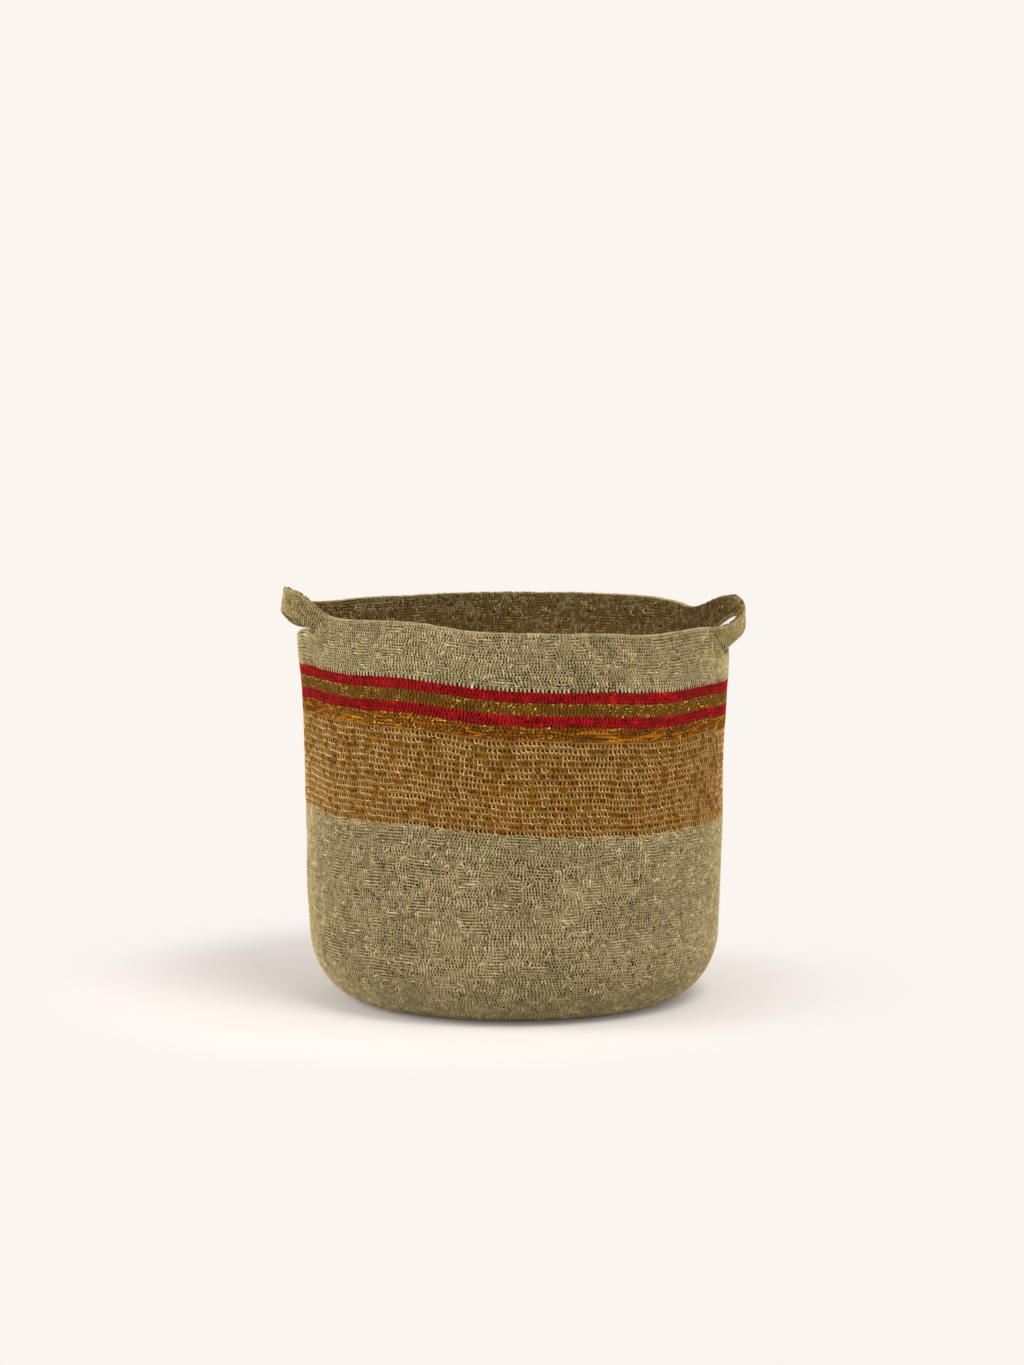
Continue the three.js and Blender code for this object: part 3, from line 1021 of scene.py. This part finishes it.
class Workshop:
    """Makes the pieces, says which body each one rides on, and hides the solid that it stands for."""

    def __init__(self):
        self.finishes = make_finishes()
        self.tree, self.sockets = crochet_tree()
        self.stitches = {}
        for key, stitch in (
            ("tight", plain_stitch(0.25, 0.25, 0.8)), ("dense", plain_stitch(0.39, 0.34, 0.9)),
            ("two faced", two_faced_stitch()), ("open", open_stitch()),
            ("joining", joining_stitch()), ("edge", edge_stitch()),
        ):
            self.stitches[key] = make_object(key + " stitch", stitch.build(key))
        self.seed = 0

    def bodies(self, yarn):
        """The finishes of a cord's body, outside and inside, which paint the shade behind the stitches."""
        return [self.finishes[yarn.body], self.finishes[yarn.body + " inside"]]

    def settle(self, piece, node, yarn, body="basket"):
        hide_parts(node)
        if body:
            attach(piece, body)

    def set_stitches(self, name, guide, stitch, yarn, grid, swell):
        """Runs the crochet tree on a guide and keeps the result as a plain mesh."""
        piece = guide.build(name)
        modifier = piece.modifiers.new("Crochet", "NODES")
        modifier.node_group = self.tree
        for label, value in (
            ("Stitch", self.stitches[stitch]), ("Material", self.finishes[yarn.finish]),
            ("Seed", self.seed), ("Swell", swell), ("Grid", (float(grid[0]), float(grid[1]), 1.0)),
        ):
            modifier[self.sockets[label]] = value
        graph = bpy.context.evaluated_depsgraph_get()
        mesh = bpy.data.meshes.new_from_object(piece.evaluated_get(graph))
        piece.modifiers.clear()
        piece.data = mesh
        mesh.name = name
        return piece

    def crochet(self, name, rows, surface, yarn, stitch=None, **span):
        """A piece of several rounds, each with its middle, height, slant and share of pale stitches."""
        self.seed += 1
        guide = Guide(self.seed)
        counts = [guide.add_row(surface, row, shape, yarn, **span) for row, shape in enumerate(rows)]
        grid = (max(counts), len(rows))
        return self.set_stitches(name, guide, stitch or yarn.stitch, yarn, grid, STITCH_SWELL)

    def band(self, node, yarn, surface, low, high, real_height, stitch=None):
        """One band of the wall: its body and its rounds, in pieces of a few rounds each."""
        count = max(round(real_height / (yarn.height * MM)), 1)
        step = (high - low) / count
        rows = []
        for i in range(count):
            pale = yarn.border if i in (0, count - 1) else yarn.pale
            rows.append((low + (i + 0.5) * step, real_height / count, 0.0, pale))
        ribs = math.ceil(count / 2)
        body = shell(f"{node}_{self.seed}_body", surface, low, high, ribs, self.bodies(yarn))
        self.settle(body, node, yarn)
        mesh = self.stitches[stitch or yarn.stitch].data
        triangles = len(mesh.loops) - 2 * len(mesh.polygons)
        stitches = count * row_length(surface, high) / (yarn.width * MM)
        pieces = math.ceil(stitches * triangles / PIECE_TRIANGLES)
        size = math.ceil(count / pieces)
        for part in range(pieces):
            label = f"{node}_rounds_{self.seed + 1}"
            piece = self.crochet(label, rows[part * size:(part + 1) * size], surface, yarn, stitch)
            self.settle(piece, node, yarn)

    def edge(self, name, surface, rise, upward, yarn, start=0.0, end=1.0):
        """A row of slanted loops along an edge; upward is 1 on a top edge and -1 on a lower one."""
        self.seed += 1
        guide = Guide(self.seed)
        length = row_length(surface, rise, start, end)
        count = round(length / (yarn.width * MM))
        for i in range(count):
            along = blend_number(start, end, (i + 0.5) / count)
            point, forward, out = spot(surface, along, rise)
            up = out.cross(forward)
            ripple = noise.noise_vector(point * EDGE_SCALE)
            sunk = EDGE_DEPTH + EDGE_WAVER * ripple.x
            middle = point - out * WALL_THICKNESS / 2 - up * upward * sunk * MM
            guide.add(
                middle, along=forward * upward, out=up * upward,
                size=(length / count * (1 + WIDTH_DRIFT * ripple.y), MM, 1.0),
                cell=(i % EDGE_COLUMNS, i // EDGE_COLUMNS, 0),
                tone=0.5 + 0.5 * ripple.z, pale=EDGE_PALE,
            )
        grid = (EDGE_COLUMNS, math.ceil(count / EDGE_COLUMNS))
        return self.set_stitches(name, guide, "edge", yarn, grid, EDGE_SWELL)


def make_base(shop):
    """The flat bottom, whose rounds are in two pieces."""
    yarn = YARNS["natural"]
    rounds = round(BASE_RADIUS / BASE_ROUND)
    step = 1 / rounds
    bodies = shop.bodies(yarn)
    body = shell("base_disc_body", base_surface, BASE_BODY_START, 1, rounds, bodies, steps=BASE_STEPS)
    shop.settle(body, "base_disc", yarn)
    rows = []
    for i in range(rounds):
        rows.append((max(i + 0.5, BASE_FIRST_ROUND) * step, BASE_RADIUS * step, 0.0, yarn.pale))
    split = math.ceil(rounds * BASE_SPLIT)
    for label, part in (("base_disc_rounds_1", rows[:split]), ("base_disc_rounds_2", rows[split:])):
        shop.settle(shop.crochet(label, part, base_surface, yarn), "base_disc", yarn)


def make_wall(shop):
    """The heel and the bands above it, up to the rim."""
    heel = [heel_point(i / HEEL_STEPS) for i in range(HEEL_STEPS + 1)]
    heel_length = sum(math.dist(a, b) for a, b in zip(heel, heel[1:]))
    shop.band("lower_wall", YARNS["natural"], heel_surface, 0.0, 1.0, heel_length)
    low = HEEL_RISE
    for node, yarn, high, stitch in (
        ("lower_wall", "natural", MELANGE_BOTTOM, None),
        ("melange_band", "melange", AMBER_BOTTOM, None),
        ("amber_band", "amber", LOW_RED_BOTTOM, None),
        ("red_stripe_lower", "crimson", GOLD_BOTTOM, None),
        ("gold_stripe", "gold", HIGH_RED_BOTTOM, None),
        ("red_stripe_upper", "crimson", UPPER_BOTTOM, None),
        ("upper_wall", "joining", UPPER_BOTTOM + JOINING_ROUND, None),
        ("upper_wall", "natural", RIM_BOTTOM, "two faced"),
    ):
        shop.band(node, YARNS[yarn], wall_surface, low, high, high - low, stitch)
        low = high


def make_strip(shop, label, edge_label, surface, yarn, last_yarn, low, inset, steps, **span):
    """The rim's rounds on a surface: their body, the rounds, the last one by itself and the edge.

    low is where the body starts, and inset how far above the lower edge the rounds do.
    """
    count = round(RIM_BAND / (yarn.height * MM))
    step = (RIM_BAND - inset) / count
    rows = [(RIM_BOTTOM + inset + (i + 0.5) * step, step, 0.0, yarn.pale) for i in range(count)]
    last_middle = rows.pop()[0] - LAST_ROUND_DROP * step
    last_row = [(last_middle, LAST_ROUND_HEIGHT * step, LAST_ROUND_SLANT, yarn.pale)]
    ribs = len(rows) // 2
    open_span = dict(span, closed=False)
    return [
        shell(
            label + "_body", surface, low, RIM_HEIGHT - MM, ribs, shop.bodies(yarn),
            steps=steps, **open_span,
        ),
        shop.crochet(label + "_rounds", rows, surface, yarn, **open_span),
        shop.crochet(label + "_last_round", last_row, surface, last_yarn, **open_span),
        shop.edge(label + edge_label, surface, RIM_HEIGHT, 1, yarn, **span),
    ]


def make_rim(shop):
    """The rim between the handles, at the front and at the back."""
    yarn = YARNS["rim"]
    for node, side in (("rim_band_front", -1), ("rim_band_back", 1)):
        for piece in make_strip(
            shop, node, "_edge", rim_surface(side), yarn, YARNS["last round"],
            RIM_BOTTOM, 0.0, RIM_STEPS,
        ):
            shop.settle(piece, node, yarn)


def make_handles(shop):
    """Each handle in two halves."""
    yarn = YARNS["strap"]
    for node, side in (("handle_left", -1), ("handle_right", 1)):
        surface = strap_surface(side)
        for half, start, end, root_end in (("1", 0.0, 0.5, 0.0), ("2", 0.5, 1.0, 1.0)):
            label = f"{node}_{half}"
            root = surface(root_end, RIM_BOTTOM + RIM_BAND / 2)
            pieces = make_strip(
                shop, label, "_top_edge", surface, yarn, YARNS["strap end"],
                RIM_BOTTOM + MM, STRAP_INSET, STRAP_STEPS, start=start, end=end,
            )
            low_edge = shop.edge(label + "_low_edge", surface, RIM_BOTTOM, -1, yarn, start, end)
            for piece in pieces + [low_edge]:
                shop.settle(piece, node, yarn, body=None)
                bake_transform(piece)
                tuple(root)


def make_wall_edges(shop):
    """The wall's top edge where a handle leaves it."""
    yarn = YARNS["natural"]
    half = HANDLE_HALF_ANGLE / (2 * math.pi) * EDGE_OVERLAP
    for label, middle in (("left", 0.5), ("right", 0.0)):
        name = f"upper_wall_{label}_edge"
        edge = shop.edge(name, wall_surface, RIM_BOTTOM, 1, yarn, middle - half, middle + half)
        shop.settle(edge, "upper_wall", yarn)


def stage_sky():
    """A soft sky that is brighter low down and behind, and plain where it is seen."""
    world = bpy.data.worlds.new("studio")
    bpy.context.scene.world = world
    sky = Shader(world)
    direction = sky.add("ShaderNodeTexCoord")
    front = sky.add("ShaderNodeSeparateXYZ", None, [direction], "Y") * -1
    above = sky.add("ShaderNodeSeparateXYZ", None, [direction], "Z")
    strength = SKY_LOW + (SKY_HIGH - SKY_LOW) * sky.band(above, 0.0, 1.0)
    strength = strength * (1 - SKY_FRONT * sky.band(front, 0.0, 1.0))
    room = sky.add("ShaderNodeBackground", None, {"Color": SKY_COLOR, "Strength": strength})
    plain = sky.add("ShaderNodeBackground", None, {"Color": srgb(BACKGROUND)})
    mixed = sky.add("ShaderNodeMixShader", None, [sky.seen(), room, plain])
    sky.add("ShaderNodeOutputWorld", None, [mixed])


def stage_lamps():
    """A high soft lamp and one at each side."""
    for name, place, size, energy, color in (
        ("high lamp", (1.4, -2.1, 3.6), 2.4, 118, (1, 0.985, 0.96)),
        ("left lamp", (-3.1, -0.35, 1.5), 2.6, 92, (1, 0.99, 0.97)),
        ("right lamp", (3.1, -0.3, 1.3), 2.2, 28, (1, 0.99, 0.97)),
    ):
        light = bpy.data.lights.new(name, "AREA")
        light.shape = "DISK"
        light.size = size
        light.energy = energy
        light.color = color
        lamp = bpy.data.objects.new(name, light)
        lamp.location = place
        aim = Vector(LAMP_AIM) - Vector(place)
        lamp.rotation_euler = aim.to_track_quat("-Z", "Y").to_euler()
        bpy.context.scene.collection.objects.link(lamp)


def stage_floor():
    """A pale seamless floor, which takes a shadow near the basket only."""
    corners = [(x * FLOOR_REACH, y * FLOOR_REACH, 0) for x, y in ((-1, -1), (1, -1), (1, 1), (-1, 1))]
    floor = make_object("floor", make_mesh("floor", corners, [(0, 1, 2, 3)]))
    material = bpy.data.materials.new("pale floor")
    finish = Shader(material)
    away = finish.vectors("DISTANCE", finish.object_place(), SHADOW_MIDDLE)
    glow = FLOOR_GLOW + finish.band(away, SHADOW_NEAR, SHADOW_FAR) * (1 - FLOOR_GLOW)
    lit = finish.add("ShaderNodeBsdfDiffuse", None, {"Color": srgb(FLOOR_COLOR)})
    plain = finish.add("ShaderNodeEmission", None, {"Color": srgb(BACKGROUND), "Strength": 1.0})
    mixed = finish.add("ShaderNodeMixShader", None, [finish.seen() * glow, lit, plain])
    finish.add("ShaderNodeOutputMaterial", None, [mixed])
    floor.data.materials.append(material)


def stage_camera():
    """The photograph's view: a long lens from a little above."""
    lens = bpy.data.cameras.new("camera")
    lens.lens = LENS
    lens.sensor_width = SENSOR_WIDTH
    camera = bpy.data.objects.new("camera", lens)
    aim = Vector((VIEW_SIDE, 0, VIEW_HEIGHT))
    away = Vector((
        math.sin(VIEW_TURN) * math.cos(VIEW_PITCH),
        -math.cos(VIEW_TURN) * math.cos(VIEW_PITCH),
        math.sin(VIEW_PITCH),
    ))
    camera.location = aim + away * VIEW_DISTANCE
    camera.rotation_euler = (-away).to_track_quat("-Z", "Y").to_euler()
    bpy.context.scene.collection.objects.link(camera)
    bpy.context.scene.camera = camera


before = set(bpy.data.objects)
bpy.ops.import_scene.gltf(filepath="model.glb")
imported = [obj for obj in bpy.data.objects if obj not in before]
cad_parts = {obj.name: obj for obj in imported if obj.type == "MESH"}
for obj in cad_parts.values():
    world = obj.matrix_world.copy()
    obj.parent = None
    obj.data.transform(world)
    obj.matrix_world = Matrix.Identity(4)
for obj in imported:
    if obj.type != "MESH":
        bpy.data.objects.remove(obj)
noise.seed_set(NOISE_SEED)
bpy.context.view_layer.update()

bpy.context.scene.view_settings.view_transform = "Standard"
stage_camera()
stage_sky()
stage_lamps()
stage_floor()
shop = Workshop()
make_base(shop)
make_wall(shop)
make_rim(shop)
make_handles(shop)
make_wall_edges(shop)
for stitch in shop.stitches.values():
    bpy.data.objects.remove(stitch)
